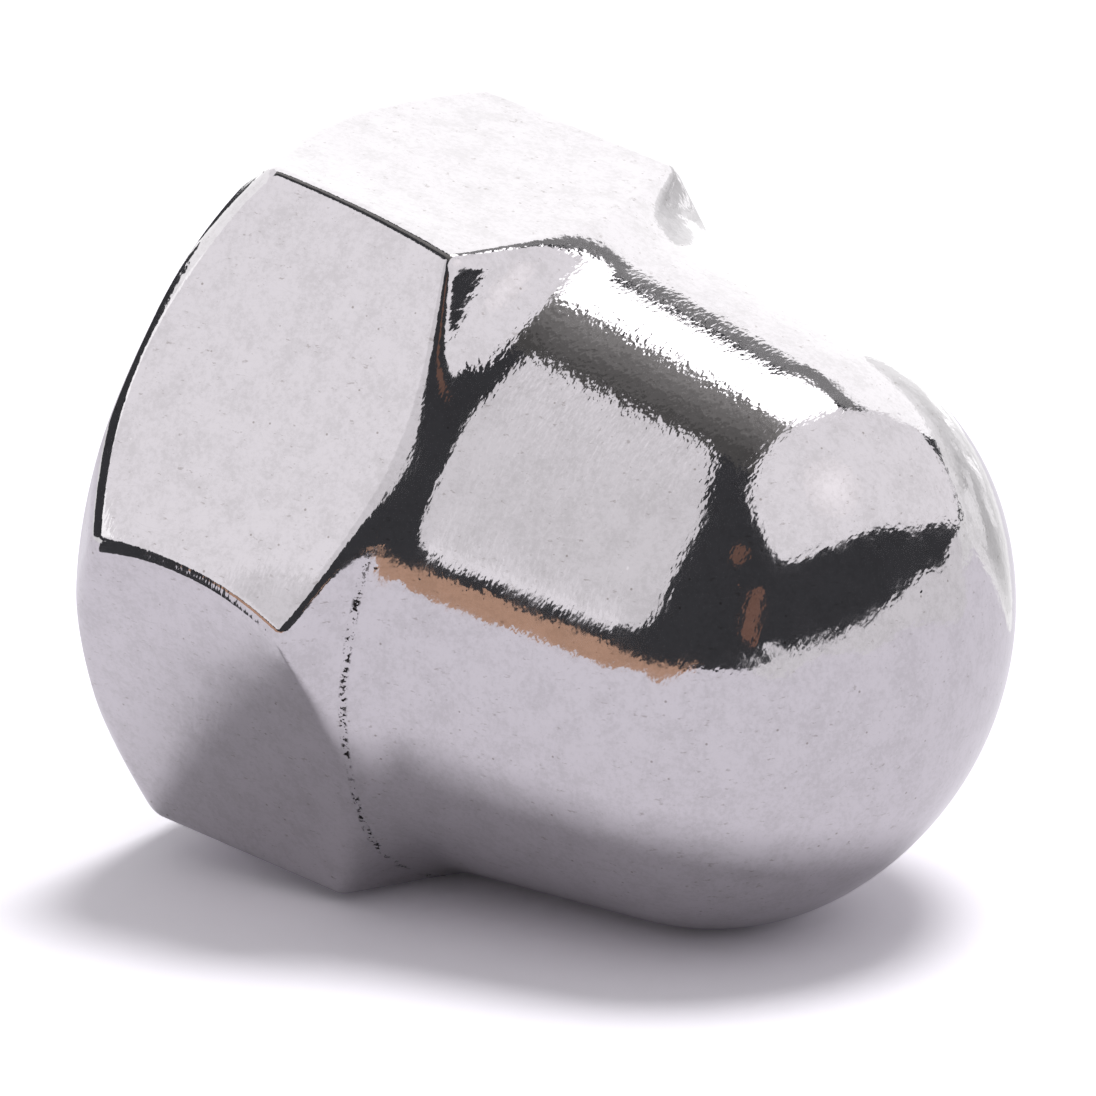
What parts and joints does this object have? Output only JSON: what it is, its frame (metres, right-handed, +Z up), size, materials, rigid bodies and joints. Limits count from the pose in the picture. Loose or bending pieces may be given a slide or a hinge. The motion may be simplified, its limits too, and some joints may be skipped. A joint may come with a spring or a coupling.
{
  "type": "cap nut",
  "caption": "Domed cap nut: a hexagon chamfered at both ends, a slightly tapered round dome and a blind threaded bore, lying on a flat and its dome.",
  "frame": {"origin": "centre of the bearing face, on the thread axis", "axes": "+Z is up as the nut lies at rest on one flat and its dome; the thread axis lies in the XZ plane, runs towards +X and dips 10 degrees towards the dome; the corners of the hexagon point along Y"},
  "size_m": [0.0163, 0.0148, 0.0139],
  "materials": {
    "plated_steel": "bright nickel-chrome plating over steel, slightly rippled, with fine pits and hairline scratches"
  },
  "bodies": {
    "root": {"cap_nut": "plated_steel"}
  },
  "joints": []
}
